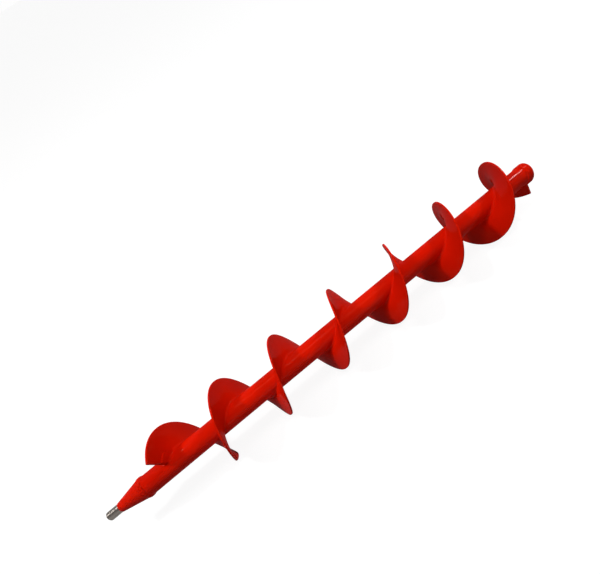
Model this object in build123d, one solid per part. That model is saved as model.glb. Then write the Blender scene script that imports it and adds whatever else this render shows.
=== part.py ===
from build123d import *
from math import ceil, cos, pi, radians, sin, tan
import os

os.makedirs("parts", exist_ok=True)

# Screw conveyor auger: a left-hand helicoid flight welded on edge to a round tube, with a turned stub
# at one end and a turned hub at the other. Every length is in millimetres, every angle in degrees.
#
# The auger lies along X. The origin is on the axis, in the middle of the stub's bearing seat, and +X
# runs from the stub to the hub. Each piece is drawn standing on a local Z, which is the auger's axis,
# and laid down along X when it is written. Angles round the axis are counted from +Y towards +Z.

# ---------------------------------------------------------------- driving dimensions

# Core tube
TUBE_OD = 50.8
TUBE_WALL = 3.2
TUBE_LENGTH = 1192.0

# Stub end, turned from bar in one piece: seat, cone, land and spigot
SEAT_DIAMETER = 22.2
SEAT_LENGTH = 32.0
SEAT_CHAMFER = 1.5
CONE_TIP_DIAMETER = 24.4
CONE_LENGTH = 62.0
LAND_LENGTH = 6.5
STUB_SPIGOT_LENGTH = 38.0
CENTRE_DIAMETER = 6.0
CENTRE_ANGLE = 60.0

# Hub end, turned from bar in one piece: a collar that stands proud of the tube, a spigot and a bore
HUB_STEP = 2.1
HUB_LENGTH = 19.0
HUB_EDGE_LENGTH = 3.5
HUB_EDGE_DEPTH = 3.0
HUB_BORE = 25.0
HUB_BORE_CHAMFER = 1.2
HUB_SPIGOT_LENGTH = 34.0

# Flight, one strip rolled to a helicoid that is thicker at its root than at its rim
FLIGHT_OD = 177.8
FLIGHT_PITCH = 171.5
FLIGHT_ROOT_THICKNESS = 6.0
FLIGHT_RIM_THICKNESS = 4.4
FLIGHT_BANDS = 3
FLIGHT_START_ANGLE = 99.0
FLIGHT_START_GAP = 70.0
FLIGHT_END_GAP = 2.7

# Tail of the flight: it narrows towards the hub, and its root steps up over the hub's collar
TAIL_ANGLE = 150.0
TAIL_OD = 108.0
LIFT_ANGLE = 24.0

# Pad on the face of the flight, beside the tube, where the flight starts
PAD_HEIGHT = 21.0
PAD_ANGLE = 34.0
PAD_THICKNESS = 4.0
PAD_CHAMFER = 1.0

# Weld metal
ROOT_WELD_LEG = 5.0
PAD_WELD_LEG = 3.5
RING_ROOT_GAP = 2.0
RING_GROOVE_DEPTH = 2.4
RING_GROOVE_ANGLE = 30.0
RING_CAP_WIDTH = 13.0
RING_CAP_CROWN_WIDTH = 5.5
RING_CAP_HEIGHT = 1.2
HUB_WELD_LEG = 2.0

# Clearances
SPIGOT_FIT = 0.15
SPIGOT_CHAMFER = 1.5
FLIGHT_FIT = 0.15
PAD_SEAT = 0.25
WELD_SEAT = 0.1

# Fineness of the curves through points
SPIRAL_STEP_ANGLE = 5.0

# ---------------------------------------------------------------- places worked out from them

tube_radius = TUBE_OD / 2
bore_radius = tube_radius - TUBE_WALL
spigot_radius = bore_radius - SPIGOT_FIT
hub_radius = tube_radius + HUB_STEP

seat_end_z = -SEAT_LENGTH / 2
shoulder_z = SEAT_LENGTH / 2
cone_end_z = shoulder_z + CONE_LENGTH
land_end_z = cone_end_z + LAND_LENGTH
tube_start_z = land_end_z + RING_ROOT_GAP
tube_end_z = tube_start_z + TUBE_LENGTH
hub_face_z = tube_end_z + HUB_LENGTH
groove_reach = RING_GROOVE_DEPTH * tan(radians(RING_GROOVE_ANGLE))
groove_radius = tube_radius - RING_GROOVE_DEPTH

flight_start_z = tube_start_z + FLIGHT_START_GAP
root_radius = tube_radius + FLIGHT_FIT
rim_radius = FLIGHT_OD / 2
lifted_radius = hub_radius + FLIGHT_FIT
flight_end_z = hub_face_z - FLIGHT_END_GAP
flight_angle = (flight_end_z - flight_start_z) / FLIGHT_PITCH * 360
tail_start_angle = flight_angle - TAIL_ANGLE
lift_end_z = tube_end_z - HUB_WELD_LEG
lift_end_angle = (lift_end_z - flight_start_z) / FLIGHT_PITCH * 360
lift_start_angle = lift_end_angle - LIFT_ANGLE

# The axis laid along X: local X becomes Y, local Y becomes Z and local Z becomes X.
AXIS = Plane(origin=(0, 0, 0), x_dir=(0, 1, 0), z_dir=(1, 0, 0))


# ---------------------------------------------------------------- turned pieces


def turned(outline):
    """A piece turned about the axis, from the corners (radius, z) of its half section."""
    corners = [(radius, 0, z) for radius, z in outline]
    return revolve(make_face(Polyline(corners, close=True)), Axis.Z)


def core_tube():
    """Round tube, bevelled at the stub end for its ring of weld, and square at the hub end."""
    return turned(
        [
            (bore_radius, tube_start_z),
            (groove_radius, tube_start_z),
            (tube_radius, tube_start_z + groove_reach),
            (tube_radius, tube_end_z),
            (bore_radius, tube_end_z),
        ]
    )


def stub_end():
    """Bearing seat, cone, bevelled land and the spigot that centres the piece in the tube."""
    centre_depth = CENTRE_DIAMETER / 2 / tan(radians(CENTRE_ANGLE / 2))
    spigot_end_z = land_end_z + STUB_SPIGOT_LENGTH
    return turned(
        [
            (0, seat_end_z + centre_depth),
            (CENTRE_DIAMETER / 2, seat_end_z),
            (SEAT_DIAMETER / 2 - SEAT_CHAMFER, seat_end_z),
            (SEAT_DIAMETER / 2, seat_end_z + SEAT_CHAMFER),
            (SEAT_DIAMETER / 2, shoulder_z),
            (CONE_TIP_DIAMETER / 2, shoulder_z),
            (tube_radius, cone_end_z),
            (tube_radius, land_end_z - groove_reach),
            (groove_radius, land_end_z),
            (spigot_radius, land_end_z),
            (spigot_radius, spigot_end_z - SPIGOT_CHAMFER),
            (spigot_radius - SPIGOT_CHAMFER, spigot_end_z),
            (0, spigot_end_z),
        ]
    )


def hub_end():
    """Collar against the tube's square end, its spigot inside the tube, and a bore through both."""
    spigot_end_z = tube_end_z - HUB_SPIGOT_LENGTH
    edge_middle = (hub_radius - HUB_EDGE_DEPTH / 4, hub_face_z - HUB_EDGE_LENGTH / 4)
    return turned(
        [
            (HUB_BORE / 2, spigot_end_z + HUB_BORE_CHAMFER),
            (HUB_BORE / 2 + HUB_BORE_CHAMFER, spigot_end_z),
            (spigot_radius - SPIGOT_CHAMFER, spigot_end_z),
            (spigot_radius, spigot_end_z + SPIGOT_CHAMFER),
            (spigot_radius, tube_end_z),
            (hub_radius, tube_end_z),
            (hub_radius, hub_face_z - HUB_EDGE_LENGTH),
            edge_middle,
            (hub_radius - HUB_EDGE_DEPTH, hub_face_z),
            (HUB_BORE / 2 + HUB_BORE_CHAMFER, hub_face_z),
            (HUB_BORE / 2, hub_face_z - HUB_BORE_CHAMFER),
        ]
    )


# ---------------------------------------------------------------- rings of weld


def stub_end_weld():
    """Butt weld that fills the bevelled groove down to the spigot, with a cap proud of the tube."""
    middle_z = (land_end_z + tube_start_z) / 2
    return turned(
        [
            (tube_radius, middle_z - RING_CAP_WIDTH / 2),
            (tube_radius, land_end_z - groove_reach),
            (groove_radius, land_end_z),
            (spigot_radius, land_end_z),
            (spigot_radius, tube_start_z),
            (groove_radius, tube_start_z),
            (tube_radius, tube_start_z + groove_reach),
            (tube_radius, middle_z + RING_CAP_WIDTH / 2),
            (tube_radius + RING_CAP_HEIGHT, middle_z + RING_CAP_CROWN_WIDTH / 2),
            (tube_radius + RING_CAP_HEIGHT, middle_z - RING_CAP_CROWN_WIDTH / 2),
        ]
    )


def hub_end_weld():
    """Fillet of weld in the corner between the tube and the back of the hub's collar."""
    toe = (tube_radius, tube_end_z - HUB_WELD_LEG)
    corner = (tube_radius, tube_end_z)
    top = (hub_radius, tube_end_z)
    return turned([toe, corner, top])


# ---------------------------------------------------------------- helical pieces


def helix(radius, offset, from_angle, to_angle):
    """The left-hand helix at a radius, shifted along the axis, between two angles past the start."""
    height = (to_angle - from_angle) / 360 * FLIGHT_PITCH
    foot_z = flight_start_z + from_angle / 360 * FLIGHT_PITCH + offset
    edge = Edge.make_helix(FLIGHT_PITCH, height, radius, center=(0, 0, foot_z), lefthand=True)
    return edge.rotate(Axis.Z, FLIGHT_START_ANGLE - from_angle)


def spiral(radius_at, offset, from_angle, to_angle):
    """The same line where its radius changes: a smooth curve through a point every few degrees."""
    steps = ceil((to_angle - from_angle) / SPIRAL_STEP_ANGLE)
    fractions = [step / steps for step in range(steps + 1)]
    points = []
    for fraction in fractions:
        past_start = from_angle + (to_angle - from_angle) * fraction
        turn = radians(FLIGHT_START_ANGLE - past_start)
        z = flight_start_z + past_start / 360 * FLIGHT_PITCH + offset
        points.append((radius_at(past_start) * cos(turn), radius_at(past_start) * sin(turn), z))
    return Edge.make_spline(points, parameters=fractions)


def eased(value_a, value_b, angle, from_angle, to_angle):
    """Goes smoothly from one value to another between two angles, and stays level outside them."""
    share = min(max((angle - from_angle) / (to_angle - from_angle), 0), 1)
    return value_a + (value_b - value_a) * (1 - cos(pi * share)) / 2


def half_turns(from_angle, to_angle):
    """A run cut into half turns, of which the last may be shorter, each from one angle to the next."""
    starts = [from_angle + 180 * index for index in range(ceil((to_angle - from_angle) / 180))]
    return list(zip(starts, starts[1:] + [to_angle]))


def helices(section, from_angle, to_angle):
    """For each half turn of a run, the helices through the corners (radius, offset) of a section."""
    return [
        [helix(radius, offset, start, end) for radius, offset in section]
        for start, end in half_turns(from_angle, to_angle)
    ]


def strip(edges):
    """The ruled faces between neighbouring edges, the last edge joined back to the first."""
    return [Face.make_surface_from_curves(a, b) for a, b in zip(edges, edges[1:] + edges[:1])]


def end_cap(edges, at):
    """The flat radial cut at one end of a set of edges."""
    return Face(Wire.make_polygon([edge.position_at(at) for edge in edges], close=True))


def closed_solid(stretches):
    """The solid inside stretches of edges that follow on from each other, with both ends capped."""
    faces = [face for edges in stretches for face in strip(edges)]
    faces.append(end_cap(stretches[0], 0))
    faces.append(end_cap(stretches[-1], 1))
    return Solid(Shell(faces))


def half_thickness(radius):
    """Half the flight's thickness at a radius, on a straight taper from root to rim."""
    share = (radius - root_radius) / (rim_radius - root_radius)
    return (FLIGHT_ROOT_THICKNESS + (FLIGHT_RIM_THICKNESS - FLIGHT_ROOT_THICKNESS) * share) / 2


def tail_rim(angle):
    """The rim's radius, which falls away over the tail."""
    return eased(rim_radius, TAIL_OD / 2, angle, tail_start_angle, flight_angle)


def tail_root(angle):
    """The root's radius, which steps up over the hub's collar near the end of the tail."""
    return eased(root_radius, lifted_radius, angle, lift_start_angle, lift_end_angle)


def tail_line(share, offset):
    """The line along the tail that keeps to one share of the way from its root to its rim."""
    return spiral(
        lambda angle: tail_root(angle) + (tail_rim(angle) - tail_root(angle)) * share,
        offset,
        tail_start_angle,
        flight_angle,
    )


def flight():
    """The whole strip, in bands from root to rim: a plain helicoid, and then the tail on it."""
    shares = [band / FLIGHT_BANDS for band in range(FLIGHT_BANDS + 1)]
    radii = [root_radius + (rim_radius - root_radius) * share for share in shares]
    hub_side = [(share, radius, half_thickness(radius)) for share, radius in zip(shares, radii)]
    stub_side = [(share, radius, -offset) for share, radius, offset in reversed(hub_side)]
    outline = hub_side + stub_side
    section = [(radius, offset) for share, radius, offset in outline]
    tail = [tail_line(share, offset) for share, radius, offset in outline]
    return closed_solid(helices(section, 0, tail_start_angle) + [tail])


def fillet_weld(leg, side, face_offset, from_angle, to_angle):
    """A run of weld in the corner between the tube and a face of the flight or of the pad."""
    foot_radius = tube_radius + WELD_SEAT
    section = [
        (foot_radius, face_offset(foot_radius) + WELD_SEAT),
        (foot_radius, face_offset(foot_radius) + leg),
        (foot_radius + leg, face_offset(foot_radius + leg) + WELD_SEAT),
    ]
    section = [(radius, side * offset) for radius, offset in section]
    return closed_solid(helices(section, from_angle, to_angle))


def pad_face(radius):
    """How far the pad's outer face stands from the middle of the flight."""
    return half_thickness(radius) + PAD_SEAT + PAD_THICKNESS


def start_pad():
    """A small plate that lies on the flight's hub-side face, chamfered on its outer edge."""
    top_radius = root_radius + PAD_HEIGHT
    section = [
        (root_radius, half_thickness(root_radius) + PAD_SEAT),
        (root_radius, pad_face(root_radius)),
        (top_radius - PAD_CHAMFER, pad_face(top_radius)),
        (top_radius, pad_face(top_radius) - PAD_CHAMFER),
        (top_radius, half_thickness(top_radius) + PAD_SEAT),
    ]
    return closed_solid(helices(section, 0, PAD_ANGLE))


# ---------------------------------------------------------------- the parts, each in its own file

nodes = {
    "core_tube": core_tube(),
    "stub_end": stub_end(),
    "hub_end": hub_end(),
    "stub_end_weld": stub_end_weld(),
    "hub_end_weld": hub_end_weld(),
    "flight": flight(),
    "start_pad": start_pad(),
    "start_pad_weld": fillet_weld(PAD_WELD_LEG, 1, pad_face, 0, PAD_ANGLE),
    "root_weld_hub_side": fillet_weld(ROOT_WELD_LEG, 1, half_thickness, PAD_ANGLE, lift_start_angle),
    "root_weld_stub_side": fillet_weld(ROOT_WELD_LEG, -1, half_thickness, 0, lift_start_angle),
}

for name, solid in nodes.items():
    export_step(AXIS.location * solid, f"parts/{name}.step")
    print(name, round(solid.volume), "mm3")
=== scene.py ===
# %% [markdown]
# # A painted screw conveyor auger
#
# An auger is a steel tube with a long spiral blade, the flight, welded round it on edge. It turns
# in two bearings and pushes grain or straw along. This one is sprayed all over in red enamel, apart
# from the turned stub at its thin end, which runs in a bearing and stays bare.
#
# The solid model gives every piece its place. Here each piece is made again with a finer mesh, so
# that the gloss runs smoothly over it: round edges, ripples in the welds, and the skin of the
# paint. All lengths are metres, X runs along the auger from the stub to the hub, and Z is up.

# %% Load the frame
import math

import bmesh
import bpy
import numpy as np
from mathutils import Matrix, Quaternion, Vector


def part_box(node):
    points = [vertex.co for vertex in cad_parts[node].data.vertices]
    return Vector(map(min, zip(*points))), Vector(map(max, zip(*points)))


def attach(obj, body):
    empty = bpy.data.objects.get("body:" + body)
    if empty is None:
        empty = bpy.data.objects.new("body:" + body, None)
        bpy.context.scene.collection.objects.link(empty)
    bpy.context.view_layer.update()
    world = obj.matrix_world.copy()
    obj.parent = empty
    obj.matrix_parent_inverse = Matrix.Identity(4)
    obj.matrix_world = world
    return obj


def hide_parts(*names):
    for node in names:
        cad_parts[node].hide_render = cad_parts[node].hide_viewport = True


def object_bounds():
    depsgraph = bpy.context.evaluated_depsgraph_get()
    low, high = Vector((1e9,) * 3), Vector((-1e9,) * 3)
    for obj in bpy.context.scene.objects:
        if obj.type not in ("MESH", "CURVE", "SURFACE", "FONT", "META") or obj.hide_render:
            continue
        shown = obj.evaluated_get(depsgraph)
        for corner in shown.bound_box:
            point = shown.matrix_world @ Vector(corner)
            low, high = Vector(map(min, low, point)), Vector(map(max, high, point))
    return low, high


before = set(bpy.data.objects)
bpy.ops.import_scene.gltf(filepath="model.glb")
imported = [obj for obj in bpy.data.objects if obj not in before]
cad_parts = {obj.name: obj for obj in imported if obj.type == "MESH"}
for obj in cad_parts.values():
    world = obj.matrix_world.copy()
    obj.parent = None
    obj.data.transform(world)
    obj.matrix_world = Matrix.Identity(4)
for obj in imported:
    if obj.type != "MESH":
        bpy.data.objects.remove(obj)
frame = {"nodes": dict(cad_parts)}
cad_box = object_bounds()
print("nodes:", ", ".join(frame["nodes"]))
print("solid model's box:", cad_box)

# %% [markdown]
# ## Sizes
#
# A spiral can't be read off a box, so its pitch, its start and the way its tail narrows are written
# down once here, as they are in the solid model.

# %% Sizes that the boxes give
MM = 0.001


def ends(node):
    """Where a node starts and stops along the axis."""
    low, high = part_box(node)
    return low[0], high[0]


def outer_radius(node):
    """The radius of a turned node, from its box."""
    low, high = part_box(node)
    return (high[2] - low[2]) / 2


tube_start, tube_end = ends("core_tube")
hub_face = ends("hub_end")[1]
stub_tip = ends("stub_end")[0]
tube_radius = outer_radius("core_tube")
hub_radius = outer_radius("hub_end")
floor_height = cad_box[0][2]
print(f"tube {1000 * (tube_end - tube_start):.1f} mm long, {2000 * tube_radius:.1f} mm thick")

# %% Sizes that only the maker knows
TUBE_WALL = 3.2 * MM
SEAT_RADIUS = 11.1 * MM
SEAT_LENGTH = 32 * MM
SEAT_CHAMFER = 1.5 * MM
CONE_TIP_RADIUS = 12.2 * MM
CONE_LENGTH = 62 * MM
CENTRE_RADIUS = 3 * MM
RING_ROOT_GAP = 2 * MM
HUB_BORE_RADIUS = 12.5 * MM
HUB_BORE_CHAMFER = 1.2 * MM
HUB_EDGE = 3.4 * MM
HUB_SPIGOT_LENGTH = 34 * MM
SPIGOT_FIT = 0.15 * MM

FLIGHT_RADIUS = 88.9 * MM
FLIGHT_PITCH = 171.5 * MM
FLIGHT_START_ANGLE = 99.0
FLIGHT_START = tube_start + 70 * MM
FLIGHT_END = hub_face - 2.7 * MM
FLIGHT_ROOT_THICKNESS = 6.0 * MM
FLIGHT_RIM_THICKNESS = 4.4 * MM
TAIL_ANGLE = 150.0
TAIL_RADIUS = 54 * MM
LIFT_ANGLE = 24.0
HUB_WELD_LEG = 2 * MM
ROOT_WELD_LEG = 5.0 * MM
PAD_HEIGHT = 21 * MM
PAD_ANGLE = 34.0
PAD_THICKNESS = 4.25 * MM
PAD_ARCH_ANGLE = 14.0

flight_angle = (FLIGHT_END - FLIGHT_START) / FLIGHT_PITCH * 360
tail_start = flight_angle - TAIL_ANGLE
lift_end = (tube_end - HUB_WELD_LEG - FLIGHT_START) / FLIGHT_PITCH * 360
lift_start = lift_end - LIFT_ANGLE
print(f"the flight makes {flight_angle / 360:.2f} turns")

# %% [markdown]
# ## Two ways to make a mesh
#
# Two shapes cover the whole auger. Turned pieces, the tube, the stub, the hub and the rings of
# weld, are an outline spun about the axis, as on a lathe. The flight and its welds are a small
# outline carried along a spiral. Both are worked out point by point, because a spiral made with the
# Screw modifier can't change its radius on the way, and this one does at its tail.

# %% A mesh from points and faces
def mesh_object(name, points, faces, sharp_angle=32.0):
    """A new closed object, smooth except where two faces meet at more than the sharp angle."""
    mesh = bpy.data.meshes.new(name)
    mesh.from_pydata([tuple(p) for p in points], [], [tuple(f) for f in faces])
    work = bmesh.new()
    work.from_mesh(mesh)
    bmesh.ops.remove_doubles(work, verts=work.verts, dist=1e-6)
    bmesh.ops.dissolve_degenerate(work, dist=1e-7, edges=work.edges)
    bmesh.ops.recalc_face_normals(work, faces=work.faces)
    work.to_mesh(mesh)
    work.free()
    mesh.shade_smooth()
    mesh.set_sharp_from_angle(angle=math.radians(sharp_angle))
    piece = bpy.data.objects.new(name, mesh)
    bpy.context.scene.collection.objects.link(piece)
    print(f"{name}: {len(mesh.polygons)} faces")
    return piece


def tube_faces(rings, ring_size, closed):
    """Faces between rings of points; closed joins the last ring back to the first."""
    faces = []
    for ring in range(rings if closed else rings - 1):
        a, b = ring * ring_size, (ring + 1) % rings * ring_size
        for k in range(ring_size):
            n = (k + 1) % ring_size
            faces.append((a + k, b + k, b + n, a + n))
    return faces


# %% Turned pieces
TURNED_SEGMENTS = 128


def lathe(name, outline, segments=96, wobble=None):
    """Spins a closed outline of (x, radius) about the axis. It closes where the radius is nothing."""
    points, faces = [], []
    size = len(outline)
    for step in range(segments):
        turn = 2 * math.pi * step / segments
        for x, radius in outline:
            grown = radius + (wobble(x, turn) if wobble and radius > 0 else 0)
            points.append((x, grown * math.cos(turn), grown * math.sin(turn)))
    for a, b, c, d in tube_faces(segments, size, True):
        faces.append((a, d, c, b))
    return mesh_object(name, points, faces)


def rounded(corners, radii, steps=4):
    """An outline with each corner rounded by its own radius, or left sharp where that is 0."""
    outline = []
    for index, corner in enumerate(corners):
        radius = radii[index]
        if radius == 0:
            outline.append(corner)
            continue
        here = Vector(corner)
        before = (Vector(corners[index - 1]) - here).normalized()
        after = (Vector(corners[(index + 1) % len(corners)]) - here).normalized()
        half = before.angle(after) / 2
        centre = here + (before + after).normalized() * radius / math.sin(half)
        first = here + before * radius / math.tan(half) - centre
        last = here + after * radius / math.tan(half) - centre
        sweep = first.angle_signed(last)
        for step in range(steps + 1):
            turned = Matrix.Rotation(-sweep * step / steps, 2) @ first
            outline.append(tuple(centre + turned))
    return outline


# %% [markdown]
# The strip is pulled out to its pitch by hand, turn by turn, so the turns are never quite even:
# they wander by a few millimetres in one slow wave along the tube. A knock has also bent the rim
# over towards the hub in one place on the second lobe. The solid model keeps to the even spiral, so
# both are only here.

# %% Pieces that follow the spiral
UNEVEN_REACH = 6 * MM
UNEVEN_HALF_WAVES = 3
BEND_ANGLE = 222.0
BEND_SPREAD = 18.0
BEND_REACH = 9 * MM


def stretch(angle):
    """How far the flight lies from its even pitch: a slow wave along the whole auger."""
    share = min(max(angle / flight_angle, 0), 1)
    return UNEVEN_REACH * math.cos(UNEVEN_HALF_WAVES * math.pi * share)


def bend(angle, radius):
    """How far a knock has pushed the rim over towards the hub, in one place on the second lobe."""
    height = max(0, (radius - tube_radius) / (FLIGHT_RADIUS - tube_radius))
    return BEND_REACH * height ** 2 * math.exp(-(((angle - BEND_ANGLE) / BEND_SPREAD) ** 2))


def on_spiral(angle, radius, offset):
    """The point at a radius, so many degrees past the flight's start, shifted along the axis."""
    turn = math.radians(FLIGHT_START_ANGLE - angle)
    x = FLIGHT_START + angle / 360 * FLIGHT_PITCH + stretch(angle) + bend(angle, radius) + offset
    return x, radius * math.cos(turn), radius * math.sin(turn)


def spiral_sweep(name, section_at, angles, sharp_angle=32.0):
    """Carries a closed section of (radius, offset) along the spiral, and caps both ends."""
    points = []
    for angle in angles:
        section = section_at(angle)
        points += [on_spiral(angle, radius, offset) for radius, offset in section]
    size = len(section)
    faces = tube_faces(len(angles), size, False)
    faces.append(tuple(range(size)))
    faces.append(tuple(reversed(range(len(points) - size, len(points)))))
    return mesh_object(name, points, faces, sharp_angle)


def eased(low, high, share):
    """Goes smoothly from low to high as share goes from nothing to one."""
    share = min(max(share, 0), 1)
    return low + (high - low) * (1 - math.cos(math.pi * share)) / 2


def steps_between(start, end, step):
    """Evenly spaced angles from start to end, about a step apart."""
    return list(np.linspace(start, end, max(2, round((end - start) / step) + 1)))


# %% [markdown]
# ## The skin of the paint
#
# Sprayed enamel is never flat. Its film draws up into a fine orange peel, it is a little thicker
# and darker in places, and its gloss comes and goes. One node group makes all three, from values
# that the material sets.

# %% The enamel group
def group_socket(group, name, direction, kind, value=None):
    """Adds a socket to a node group, with its starting value."""
    socket = group.interface.new_socket(name=name, in_out=direction, socket_type=kind)
    if value is not None:
        socket.default_value = value
    return socket


def noise(group, place, scale, detail):
    """A noise texture in a group, read at the given places."""
    texture = group.nodes.new("ShaderNodeTexNoise")
    texture.inputs["Scale"].default_value = scale
    texture.inputs["Detail"].default_value = detail
    group.links.new(place, texture.inputs["Vector"])
    return texture.outputs["Fac"]


def make_enamel_group():
    """Colour, roughness and normal of a sprayed enamel film."""
    group = bpy.data.node_groups.new("enamel_film", "ShaderNodeTree")
    group_socket(group, "Thin", "INPUT", "NodeSocketColor", (0.8, 0.02, 0.0, 1))
    group_socket(group, "Thick", "INPUT", "NodeSocketColor", (0.6, 0.01, 0.0, 1))
    group_socket(group, "Gloss Low", "INPUT", "NodeSocketFloat", 0.2)
    group_socket(group, "Gloss High", "INPUT", "NodeSocketFloat", 0.3)
    group_socket(group, "Peel Depth", "INPUT", "NodeSocketFloat", 0.00002)
    group_socket(group, "Color", "OUTPUT", "NodeSocketColor")
    group_socket(group, "Roughness", "OUTPUT", "NodeSocketFloat")
    group_socket(group, "Normal", "OUTPUT", "NodeSocketVector")
    nodes, links = group.nodes, group.links
    inlet = nodes.new("NodeGroupInput")
    outlet = nodes.new("NodeGroupOutput")
    place = nodes.new("ShaderNodeTexCoord").outputs["Object"]
    film = nodes.new("ShaderNodeMix")
    film.data_type = "RGBA"
    links.new(noise(group, place, 14, 3), film.inputs["Factor"])
    links.new(inlet.outputs["Thin"], film.inputs["A"])
    links.new(inlet.outputs["Thick"], film.inputs["B"])
    links.new(film.outputs["Result"], outlet.inputs["Color"])
    gloss = nodes.new("ShaderNodeMix")
    links.new(noise(group, place, 37, 4), gloss.inputs["Factor"])
    links.new(inlet.outputs["Gloss Low"], gloss.inputs["A"])
    links.new(inlet.outputs["Gloss High"], gloss.inputs["B"])
    links.new(gloss.outputs["Result"], outlet.inputs["Roughness"])
    bump = nodes.new("ShaderNodeBump")
    links.new(inlet.outputs["Peel Depth"], bump.inputs["Distance"])
    links.new(noise(group, place, 320, 1), bump.inputs["Height"])
    links.new(bump.outputs["Normal"], outlet.inputs["Normal"])
    return group


enamel_group = make_enamel_group()
print("group enamel_film:", [item.name for item in enamel_group.interface.items_tree])


# %% [markdown]
# The enamel is a deep, even red with short, hard glints. A surface that reflects as plastic does
# would pick up the white floor all over and look washed out. So the colour underneath reflects
# nothing, and only a faint clear coat over it gives the glints.

# %% Red enamel
RED_THIN = (0.79, 0.0115, 0.0006)
RED_THICK = (0.68, 0.0065, 0.0004)
GLOSS_LOW, GLOSS_HIGH = 0.045, 0.09
PEEL_DEPTH = 0.03 * MM
COAT = 0.05


def enamel(name, thin, thick, low, high, peel):
    """A glossy red enamel whose film comes from the group."""
    material = bpy.data.materials.new(name)
    material.use_nodes = True
    nodes, links = material.node_tree.nodes, material.node_tree.links
    paint = nodes["Principled BSDF"]
    film = nodes.new("ShaderNodeGroup")
    film.node_tree = enamel_group
    film.inputs["Thin"].default_value = (*thin, 1)
    film.inputs["Thick"].default_value = (*thick, 1)
    film.inputs["Gloss Low"].default_value = low
    film.inputs["Gloss High"].default_value = high
    film.inputs["Peel Depth"].default_value = peel
    links.new(film.outputs["Color"], paint.inputs["Base Color"])
    links.new(film.outputs["Roughness"], paint.inputs["Roughness"])
    links.new(film.outputs["Normal"], paint.inputs["Normal"])
    paint.inputs["Specular IOR Level"].default_value = 0.0
    paint.inputs["Coat Weight"].default_value = COAT
    links.new(film.outputs["Roughness"], paint.inputs["Coat Roughness"])
    links.new(film.outputs["Normal"], paint.inputs["Coat Normal"])
    return material


smooth_enamel = enamel("smooth_enamel", RED_THIN, RED_THICK, GLOSS_LOW, GLOSS_HIGH, PEEL_DEPTH)
print("material:", smooth_enamel.name)


# %% Finish a piece
def finish(piece, material, slot, *nodes):
    """Gives a piece its material, hides its solids, and rides it on the auger. Its slot is not used.
    """
    piece.data.materials.append(material)
    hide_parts(*nodes)
    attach(piece, "root")


# %% [markdown]
# ## The tube
#
# A plain drawn tube. Its outer edge at the stub end is bevelled for the ring of weld, and its
# inside shows a little through the hub's bore, so it gets its real wall. A cylinder with a Solidify
# modifier would give the wall, but not a bevel at one end only, so it is an outline spun on the
# lathe. It is divided along its length, so that its faces stay short.

# %% Make the tube
BEVEL_DEPTH = 2.4 * MM
BEVEL_LENGTH = 1.4 * MM
tube_inner = tube_radius - TUBE_WALL
bevel_end = tube_start + BEVEL_LENGTH
tube = lathe(
    "tube",
    [
        (tube_start, tube_inner),
        (tube_start, tube_radius - BEVEL_DEPTH),
        (bevel_end, tube_radius),
    ]
    + [
        (bevel_end + share * (tube_end - tube_start - BEVEL_LENGTH), tube_radius)
        for share in np.linspace(0.02, 1, 50)
    ]
    + [(tube_end, tube_inner)],
    TURNED_SEGMENTS,
)
finish(tube, smooth_enamel, "red_enamel", "core_tube")

# %% [markdown]
# ## The flight
#
# One strip of steel, rolled on edge until it curls into a spiral. Rolling squeezes the outer edge
# thinner than the root. Over its last part the strip is cut down to about half its height, and its
# root climbs over the hub's collar. So its section is worked out again at every step along the
# spiral, where one fixed section could do neither.

# %% The flight's section
RIM_ROUND = 1.0 * MM
ROOT_CLEARANCE = 0.15 * MM
root_radius = tube_radius + ROOT_CLEARANCE
lifted_radius = hub_radius + ROOT_CLEARANCE


def rim_at(angle):
    """The rim's radius, which falls away over the tail."""
    return eased(FLIGHT_RADIUS, TAIL_RADIUS, (angle - tail_start) / TAIL_ANGLE)


def root_at(angle):
    """The root's radius, which steps up over the collar."""
    return eased(root_radius, lifted_radius, (angle - lift_start) / LIFT_ANGLE)


def half_thickness(radius):
    """Half the strip's thickness at a radius on its full height."""
    share = (radius - root_radius) / (FLIGHT_RADIUS - root_radius)
    return (FLIGHT_ROOT_THICKNESS + (FLIGHT_RIM_THICKNESS - FLIGHT_ROOT_THICKNESS) * share) / 2


def flight_section(angle, inset=0.0):
    """The strip's section from root to rim and back, with its rim rounded over."""
    low, high = root_at(angle), rim_at(angle) - inset
    shares = np.linspace(0, 1, 8)[:-1]
    full = [root_radius + (FLIGHT_RADIUS - root_radius) * share for share in shares]
    side = [
        (low + (high - low) * share, half_thickness(radius) - inset)
        for share, radius in zip(shares, full)
    ]
    rim_half = FLIGHT_RIM_THICKNESS / 2 - inset
    arc = []
    for step in range(5):
        turn = math.radians(90 * step / 4)
        out, across = RIM_ROUND * math.sin(turn), RIM_ROUND * math.cos(turn)
        arc.append((high - RIM_ROUND + out, rim_half - RIM_ROUND + across))
    outline = side + arc
    return outline + [(radius, -offset) for radius, offset in reversed(outline)]


# %% Make the flight
EDGE_BREAK = 0.5 * MM
FLIGHT_STEP = 3.0
edge_angle = EDGE_BREAK / (math.tau * FLIGHT_RADIUS) * 360
flight_angles = steps_between(edge_angle, flight_angle - edge_angle, FLIGHT_STEP)
flight_angles = [0.0] + flight_angles + [flight_angle]


def flight_ring(angle):
    """The section, drawn in a little at the two cut ends, so that their edges are broken."""
    return flight_section(angle, EDGE_BREAK if angle in (0.0, flight_angle) else 0.0)


flight = spiral_sweep("flight_strip", flight_ring, flight_angles)
finish(flight, smooth_enamel, "red_enamel", "flight")

# %% [markdown]
# ## The welds
#
# A run of weld fills the corner between the strip and the tube on both sides. Its face is hollow
# and it is laid in small overlapping pools, which stay visible under the paint as ripples. They
# could be a bump in the paint, but they also break up the line where the weld meets the tube, so
# they are real here, in the mesh.

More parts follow.
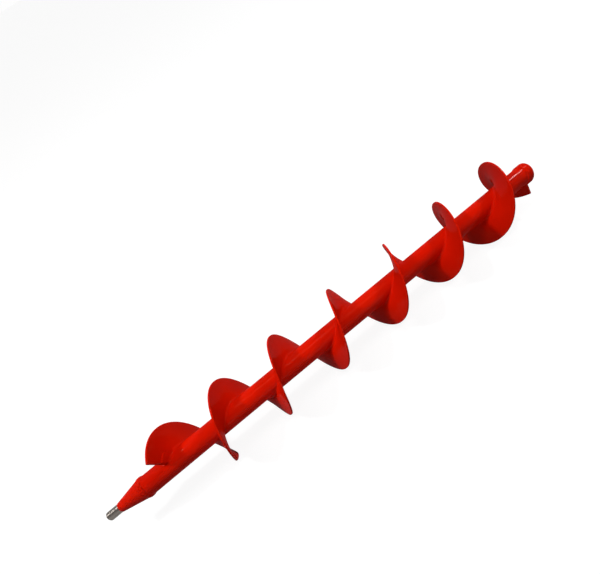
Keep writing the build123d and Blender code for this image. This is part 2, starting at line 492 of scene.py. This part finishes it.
# %% A run of weld
RIPPLE_PITCH = 5.0 * MM
RIPPLE_DEPTH = 0.22 * MM
WELD_HOLLOW = 0.22
WELD_TIP = 0.25
WELD_RUN_OUT = 9 * MM
WELD_SINK = 0.1 * MM
WELD_BITE = 0.3 * MM
WELD_STEP = 1.4


def weld_run(name, side, face_at, start, end, leg):
    """A rippled bead in the corner between the tube and a face of the strip, thin at both ends."""
    run_length = math.hypot(math.tau * tube_radius, FLIGHT_PITCH) / 360

    def section_at(angle):
        along = (angle - start) * run_length
        taper = eased(WELD_TIP, 1, min(angle - start, end - angle) * run_length / WELD_RUN_OUT)
        pool = abs(math.sin(math.pi * along / RIPPLE_PITCH))
        uneven = 0.07 * math.sin(along * 41) + 0.05 * math.sin(along * 97 + 1)
        size = leg * taper * (1 + uneven)
        depth = RIPPLE_DEPTH * (pool - 0.5) * taper
        foot = tube_radius - WELD_SINK
        face = face_at(tube_radius) - WELD_BITE
        corners = [(foot, face), (foot, face + size + WELD_BITE)]
        for share in (0.25, 0.5, 0.75):
            hollow = WELD_HOLLOW * size * math.sin(math.pi * share)
            radius = tube_radius + size * share - hollow * 0.7 + depth
            offset = face_at(radius) + size * (1 - share) - hollow * 0.7 + depth
            corners.append((radius, offset))
        corners.append((tube_radius + size, face_at(tube_radius + size) - WELD_BITE))
        return [(radius, side * offset) for radius, offset in corners]

    return spiral_sweep(name, section_at, steps_between(start, end, WELD_STEP), sharp_angle=50)


hub_side_weld = weld_run("weld_hub_side", 1, half_thickness, PAD_ANGLE, lift_start, ROOT_WELD_LEG)
finish(hub_side_weld, smooth_enamel, "red_enamel", "root_weld_hub_side")
stub_side_weld = weld_run("weld_stub_side", -1, half_thickness, 0, lift_start, ROOT_WELD_LEG)
finish(stub_side_weld, smooth_enamel, "red_enamel", "root_weld_stub_side")

# %% [markdown]
# ## The pad
#
# Where the strip starts, a small plate stiffens its corner. It lies on the face that looks towards
# the hub, its far end is cut to an arch, and it has its own short run of weld. A flat box would
# stand off the strip, which twists under it, so the plate is carried along the same spiral.

# %% Make the pad and its weld
PAD_EDGE_ROUND = 1.5 * MM
PAD_ARCH_FOOT = 2 * MM
PAD_SINK = 0.1 * MM
PAD_STEP = 1.0
PAD_WELD_LEG = 4.5 * MM


def pad_face(radius):
    """How far the pad's outer face stands from the middle of the strip."""
    return half_thickness(radius) + PAD_THICKNESS


def pad_section(angle):
    """The pad's section, with a rounded outer edge, and lower towards the arched far end."""
    across = max(0, (angle - PAD_ANGLE + PAD_ARCH_ANGLE) / PAD_ARCH_ANGLE)
    arch = math.sqrt(max(0, 1 - across * across))
    top = root_radius + PAD_ARCH_FOOT + (PAD_HEIGHT - PAD_ARCH_FOOT) * arch
    shoulder = top - PAD_EDGE_ROUND
    corners = [(root_radius, half_thickness(root_radius) - PAD_SINK)]
    corners += [(radius, pad_face(radius)) for radius in np.linspace(root_radius, shoulder, 4)]
    for step in range(1, 4):
        turn = math.radians(90 * step / 3)
        drop = PAD_EDGE_ROUND * (1 - math.cos(turn))
        corners.append((shoulder + PAD_EDGE_ROUND * math.sin(turn), pad_face(top) - drop))
    corners.append((top, half_thickness(top) - PAD_SINK))
    return corners


pad = spiral_sweep("start_plate", pad_section, steps_between(0, PAD_ANGLE, PAD_STEP))
finish(pad, smooth_enamel, "red_enamel", "start_pad")
pad_weld = weld_run("weld_start_plate", 1, pad_face, 0, PAD_ANGLE, PAD_WELD_LEG)
finish(pad_weld, smooth_enamel, "red_enamel", "start_pad_weld")

# %% [markdown]
# ## The stub
#
# The thin end is turned from bar: a bearing seat, a small shoulder, a long cone and a short land as
# wide as the tube. The seat is masked when the auger is sprayed. One spun outline with two
# materials would do, but two pieces, the bare seat and the painted cone, give a clean edge between
# steel and paint.

# %% Make the bare seat and the painted cone
CENTRE_ROUND = 0.2 * MM
FINE_ROUND = 0.3 * MM
CONE_TIP_ROUND = 0.6 * MM
CONE_BASE_ROUND = 3 * MM
seat_end = stub_tip + SEAT_LENGTH
cone_end = seat_end + CONE_LENGTH
land_end = tube_start - RING_ROOT_GAP
seat = lathe(
    "stub_seat",
    rounded(
        [
            (stub_tip + CENTRE_RADIUS * math.sqrt(3), 0),
            (stub_tip, CENTRE_RADIUS),
            (stub_tip, SEAT_RADIUS - SEAT_CHAMFER),
            (stub_tip + SEAT_CHAMFER, SEAT_RADIUS),
            (seat_end, SEAT_RADIUS),
            (seat_end, 0),
        ],
        [0, CENTRE_ROUND, FINE_ROUND, FINE_ROUND, 0, 0],
    ),
)
cone = lathe(
    "stub_cone",
    rounded(
        [
            (seat_end, 0),
            (seat_end, CONE_TIP_RADIUS),
            (cone_end, tube_radius),
            (land_end, tube_radius),
            (land_end, 0),
        ],
        [0, CONE_TIP_ROUND, CONE_BASE_ROUND, 0, 0],
        steps=6,
    ),
    TURNED_SEGMENTS,
)

# %% [markdown]
# ## Bare steel
#
# The seat is turned, so its surface is a very fine screw thread left by the tool, and it has dulled
# a little since. The marks are far too fine to model, so they go in the bump, in a group that puts
# out a colour, a roughness and a normal. The material adds the long glints that such marks draw.

# %% The turned steel group
def make_turned_group():
    """Colour, roughness and normal of steel turned about the X axis."""
    group = bpy.data.node_groups.new("turned_steel_skin", "ShaderNodeTree")
    group_socket(group, "Clean", "INPUT", "NodeSocketColor", (0.6, 0.58, 0.55, 1))
    group_socket(group, "Dull", "INPUT", "NodeSocketColor", (0.4, 0.38, 0.36, 1))
    group_socket(group, "Mark Depth", "INPUT", "NodeSocketFloat", 0.00001)
    group_socket(group, "Color", "OUTPUT", "NodeSocketColor")
    group_socket(group, "Roughness", "OUTPUT", "NodeSocketFloat")
    group_socket(group, "Normal", "OUTPUT", "NodeSocketVector")
    nodes, links = group.nodes, group.links
    inlet = nodes.new("NodeGroupInput")
    outlet = nodes.new("NodeGroupOutput")
    place = nodes.new("ShaderNodeTexCoord").outputs["Object"]
    squeezed = nodes.new("ShaderNodeMapping")
    squeezed.inputs["Scale"].default_value = (900, 12, 12)
    links.new(place, squeezed.inputs["Vector"])
    bump = nodes.new("ShaderNodeBump")
    links.new(inlet.outputs["Mark Depth"], bump.inputs["Distance"])
    links.new(noise(group, squeezed.outputs["Vector"], 1, 3), bump.inputs["Height"])
    links.new(bump.outputs["Normal"], outlet.inputs["Normal"])
    stains = noise(group, place, 60, 4)
    tint = nodes.new("ShaderNodeMix")
    tint.data_type = "RGBA"
    links.new(stains, tint.inputs["Factor"])
    links.new(inlet.outputs["Clean"], tint.inputs["A"])
    links.new(inlet.outputs["Dull"], tint.inputs["B"])
    links.new(tint.outputs["Result"], outlet.inputs["Color"])
    worn = nodes.new("ShaderNodeMapRange")
    worn.inputs["To Min"].default_value = 0.36
    worn.inputs["To Max"].default_value = 0.50
    links.new(stains, worn.inputs["Value"])
    links.new(worn.outputs["Result"], outlet.inputs["Roughness"])
    return group


turned_group = make_turned_group()
print("group turned_steel_skin:", [item.name for item in turned_group.interface.items_tree])


# %% Give the seat its steel and the cone its paint
def turned_steel(name, clean, dull, depth):
    """Bare turned steel. Its marks run round the axis, so they draw each glint out along it."""
    material = bpy.data.materials.new(name)
    material.use_nodes = True
    nodes, links = material.node_tree.nodes, material.node_tree.links
    metal = nodes["Principled BSDF"]
    metal.inputs["Metallic"].default_value = 1
    skin = nodes.new("ShaderNodeGroup")
    skin.node_tree = turned_group
    skin.inputs["Clean"].default_value = (*clean, 1)
    skin.inputs["Dull"].default_value = (*dull, 1)
    skin.inputs["Mark Depth"].default_value = depth
    links.new(skin.outputs["Color"], metal.inputs["Base Color"])
    links.new(skin.outputs["Roughness"], metal.inputs["Roughness"])
    links.new(skin.outputs["Normal"], metal.inputs["Normal"])
    around = nodes.new("ShaderNodeTangent")
    around.direction_type = "RADIAL"
    around.axis = "X"
    links.new(around.outputs["Tangent"], metal.inputs["Tangent"])
    metal.inputs["Anisotropic"].default_value = 0.9
    quarter_turn = 0.25
    metal.inputs["Anisotropic Rotation"].default_value = quarter_turn
    return material


STEEL_CLEAN = (0.23, 0.205, 0.185)
STEEL_DULL = (0.13, 0.115, 0.10)
STEEL_MARK_DEPTH = 0.02 * MM
bare_steel = turned_steel("bare_steel", STEEL_CLEAN, STEEL_DULL, STEEL_MARK_DEPTH)
finish(seat, bare_steel, "stub_steel", "stub_end")
finish(cone, smooth_enamel, "red_enamel", "stub_end")

# %% [markdown]
# ## The hub
#
# The other end carries a collar, a little thicker than the tube and well rounded at its front edge.
# It is bored right through for a shaft. Its spigot, inside the tube, can be seen from the front
# down the bore, so it is part of the piece. A Bevel modifier would round all its edges alike. Here
# each corner of the outline has a radius of its own.

# %% Make the hub
SPIGOT_ROUND = 1.0 * MM
HUB_BACK_ROUND = 0.4 * MM
spigot_radius = tube_inner - SPIGOT_FIT
spigot_end = tube_end - HUB_SPIGOT_LENGTH
hub = lathe(
    "hub_collar",
    rounded(
        [
            (spigot_end, HUB_BORE_RADIUS),
            (spigot_end, spigot_radius),
            (tube_end, spigot_radius),
            (tube_end, hub_radius),
            (hub_face, hub_radius),
            (hub_face, HUB_BORE_RADIUS + HUB_BORE_CHAMFER),
            (hub_face - HUB_BORE_CHAMFER, HUB_BORE_RADIUS),
        ],
        [0, SPIGOT_ROUND, 0, HUB_BACK_ROUND, HUB_EDGE, FINE_ROUND, FINE_ROUND],
        steps=8,
    ),
    TURNED_SEGMENTS,
)
finish(hub, smooth_enamel, "red_enamel", "hub_end")

# %% [markdown]
# ## The rings of weld
#
# The stub is joined to the tube by a ring of weld that stands a little proud, and the collar by a
# small one in its corner. A plain torus would be too even: the welder lays a ring in overlapping
# pools, like the scales of a fish. So an arched outline is spun, and its radius changes round the
# axis. The stub's ring rises a little higher here than in the solid model, where it is a plain
# turned bead.

# %% Make the stub's ring
RING_RIPPLE = 4.2 * MM
RING_RIPPLE_DEPTH = 0.5 * MM
RING_SWELL = 0.3 * MM
RING_RISE = 1.6
RING_FOOT = 0.4 * MM
RING_SINK = 0.05 * MM
RING_SEGMENTS = 304
ring_start, ring_end = ends("stub_end_weld")
ring_middle, ring_half = (ring_start + ring_end) / 2, (ring_end - ring_start) / 2
cap_height = outer_radius("stub_end_weld") - tube_radius


def ring_outline(middle, half, height, steps):
    """A low arch over the joint, closed underneath the surface."""
    outline = [(middle - half, tube_radius - RING_FOOT)]
    for step in range(steps + 1):
        share = -1 + 2 * step / steps
        rise = height * (1 - share * share) ** 0.5
        outline.append((middle + share * half, tube_radius - RING_SINK + rise))
    outline.append((middle + half, tube_radius - RING_FOOT))
    return outline


def ring_wobble(x, turn):
    """How far a point of the ring rises or falls in its pool of weld."""
    across = (x - ring_middle) / ring_half
    along = turn * tube_radius / RING_RIPPLE + 0.45 * across * across
    ripple = abs(math.sin(math.pi * along)) - 0.6
    slow = 0.35 * math.sin(3 * turn + 0.6) + 0.25 * math.sin(7 * turn + 2)
    return (RING_RIPPLE_DEPTH * ripple + RING_SWELL * slow) * max(0, 1 - across * across)


ring_weld = lathe(
    "weld_stub_ring",
    ring_outline(ring_middle, ring_half, RING_RISE * cap_height, steps=14),
    RING_SEGMENTS,
    ring_wobble,
)
finish(ring_weld, smooth_enamel, "red_enamel", "stub_end_weld")

# %% Make the hub's ring
HUB_RING_RIPPLE = 0.12 * MM
HUB_RING_SWELL = 0.1 * MM


def hub_ring_wobble(x, turn):
    """The small ring's fine ripple, and a slow swell round it."""
    return HUB_RING_RIPPLE * math.sin(39 * turn) + HUB_RING_SWELL * math.sin(5 * turn)


hub_ring = lathe(
    "weld_hub_ring",
    [
        (tube_end + 1.4 * MM, tube_radius - 0.3 * MM),
        (tube_end - 2.6 * MM, tube_radius - 0.3 * MM),
        (tube_end - 2.5 * MM, tube_radius + 0.1 * MM),
        (tube_end - 1.8 * MM, tube_radius + 0.4 * MM),
        (tube_end - 1.0 * MM, tube_radius + 0.9 * MM),
        (tube_end - 0.3 * MM, tube_radius + 1.5 * MM),
        (tube_end + 0.4 * MM, hub_radius - 0.05 * MM),
        (tube_end + 1.4 * MM, hub_radius + 0.02 * MM),
    ],
    RING_SEGMENTS,
    hub_ring_wobble,
)
finish(hub_ring, smooth_enamel, "red_enamel", "hub_end_weld")

# %% [markdown]
# ## Floor, light and camera
#
# The auger lies on a wide white floor inside a white wall that runs all round it. To the camera and
# in reflections both are nearly white by themselves, so that the lamps can stay plain and the
# shadow still shows. There is no ceiling, so the paint has something dark to reflect too.
#
# A long soft lamp overhead and a wide one in front light the whole auger. Three small lamps stand
# high behind it: one draws the short bright line on the tube near the hub, one the line near the
# stub, and one the band on the bare seat. Small lamps make crisp lines and add little light.

# %% The floor and the wall
def seen_level(nodes, links, lighting, seen):
    """One level for lighting, and another for what the camera sees, also in reflections."""
    rays = nodes.new("ShaderNodeLightPath")
    total = rays.outputs["Is Camera Ray"]
    for kind in ("Is Glossy Ray", "Is Transmission Ray"):
        larger = nodes.new("ShaderNodeMath")
        larger.operation = "MAXIMUM"
        links.new(total, larger.inputs[0])
        links.new(rays.outputs[kind], larger.inputs[1])
        total = larger.outputs["Value"]
    level = nodes.new("ShaderNodeMapRange")
    level.inputs["To Min"].default_value = lighting
    level.inputs["To Max"].default_value = seen
    links.new(total, level.inputs["Value"])
    return level.outputs["Result"]


def stage_material(name, shade, glow):
    """A pale matt surface that also glows a little, but only to the camera and in reflections."""
    material = bpy.data.materials.new(name)
    material.use_nodes = True
    nodes, links = material.node_tree.nodes, material.node_tree.links
    matt = nodes["Principled BSDF"]
    matt.inputs["Roughness"].default_value = 0.9
    matt.inputs["Specular IOR Level"].default_value = 0.1
    cloud = nodes.new("ShaderNodeTexNoise")
    cloud.inputs["Scale"].default_value = 3
    tone = nodes.new("ShaderNodeMix")
    tone.data_type = "RGBA"
    paler = 1.02 * shade
    tone.inputs["A"].default_value = (shade, shade, shade, 1)
    tone.inputs["B"].default_value = (paler, paler, paler, 1)
    links.new(cloud.outputs["Fac"], tone.inputs["Factor"])
    links.new(tone.outputs["Result"], matt.inputs["Base Color"])
    strength = seen_level(nodes, links, 0, glow)
    matt.inputs["Emission Color"].default_value = (1, 1, 1, 1)
    links.new(strength, matt.inputs["Emission Strength"])
    return material


FLOOR_SIZE = 14.0
middle = Vector([(low + high) / 2 for low, high in zip(*cad_box)])
bpy.ops.mesh.primitive_plane_add(size=FLOOR_SIZE, location=(middle.x, middle.y, floor_height))
floor = bpy.context.object
floor.name = "floor"
floor.data.materials.append(stage_material("white_floor", shade=0.16, glow=0.92))

WALL_HEIGHT = 8.0
WALL_RADIUS = FLOOR_SIZE / 2 - 0.1
bpy.ops.mesh.primitive_cylinder_add(
    vertices=96, radius=WALL_RADIUS, depth=WALL_HEIGHT, end_fill_type="NOTHING",
    location=(middle.x, middle.y, floor_height + WALL_HEIGHT / 2),
)
wall = bpy.context.object
wall.name = "backdrop"
wall.data.materials.append(stage_material("white_backdrop", shade=0.26, glow=0.97))


# %% The lamps and the world
def area_lamp(name, place, aim, length, width, watts):
    """A rectangular lamp at a place, facing a point, with its length kept along X."""
    light = bpy.data.lights.new(name, "AREA")
    light.shape = "RECTANGLE"
    light.size, light.size_y = length, width
    light.energy = watts
    lamp = bpy.data.objects.new(name, light)
    lamp.location = place
    back = (Vector(place) - Vector(aim)).normalized()
    side = (Vector((1, 0, 0)) - back * back.x).normalized()
    lamp.rotation_euler = Matrix((side, back.cross(side), back)).transposed().to_euler()
    bpy.context.scene.collection.objects.link(lamp)
    return lamp


area_lamp("key_lamp", (0.62, 0.35, 1.75), (0.6, 0, 0), length=1.5, width=0.5, watts=12)
area_lamp("fill_lamp", (0.62, -2.2, 0.55), (0.6, 0, 0), length=2.4, width=0.8, watts=9)
area_lamp("stub_lamp", (-0.90, 0.85, 2.1), (0.4, 0, 0), length=0.20, width=0.16, watts=29)
area_lamp("seat_lamp", (-1.61, 0.85, 2.1), (0.0, 0, 0), length=0.16, width=0.16, watts=3)
area_lamp("hub_lamp", (3.18, 0.85, 2.1), (0.9, 0, 0), length=0.22, width=0.16, watts=36)

world = bpy.data.worlds.new("soft_world")
bpy.context.scene.world = world
world.use_nodes = True
sky = world.node_tree.nodes["Background"]
sky.inputs["Color"].default_value = (1, 1, 1, 1)
sky.inputs["Strength"].default_value = 0.12

# %% The camera
CAMERA_PLACE = Vector((0.5676, -0.4308, 0.6904))
CAMERA_AIM = Vector((0.6355, -0.0309, -0.0174))
CAMERA_ROLL = -31.44
CAMERA_LENS = 20.09
CAMERA_SHIFT = (-0.0652, 0.0979)

lens = bpy.data.cameras.new("camera")
lens.lens = CAMERA_LENS
lens.sensor_width = 36
lens.shift_x, lens.shift_y = CAMERA_SHIFT
lens.clip_start, lens.clip_end = 0.01, 100
camera = bpy.data.objects.new("camera", lens)
bpy.context.scene.collection.objects.link(camera)
camera.location = CAMERA_PLACE
looking = (CAMERA_AIM - CAMERA_PLACE).to_track_quat("-Z", "Y")
camera.rotation_euler = (looking @ Quaternion((0, 0, 1), math.radians(CAMERA_ROLL))).to_euler()
bpy.context.scene.camera = camera
bpy.context.scene.view_settings.view_transform = "Standard"
print("camera at", tuple(round(value, 3) for value in camera.location))

# %% Update the scene
bpy.context.view_layer.update()
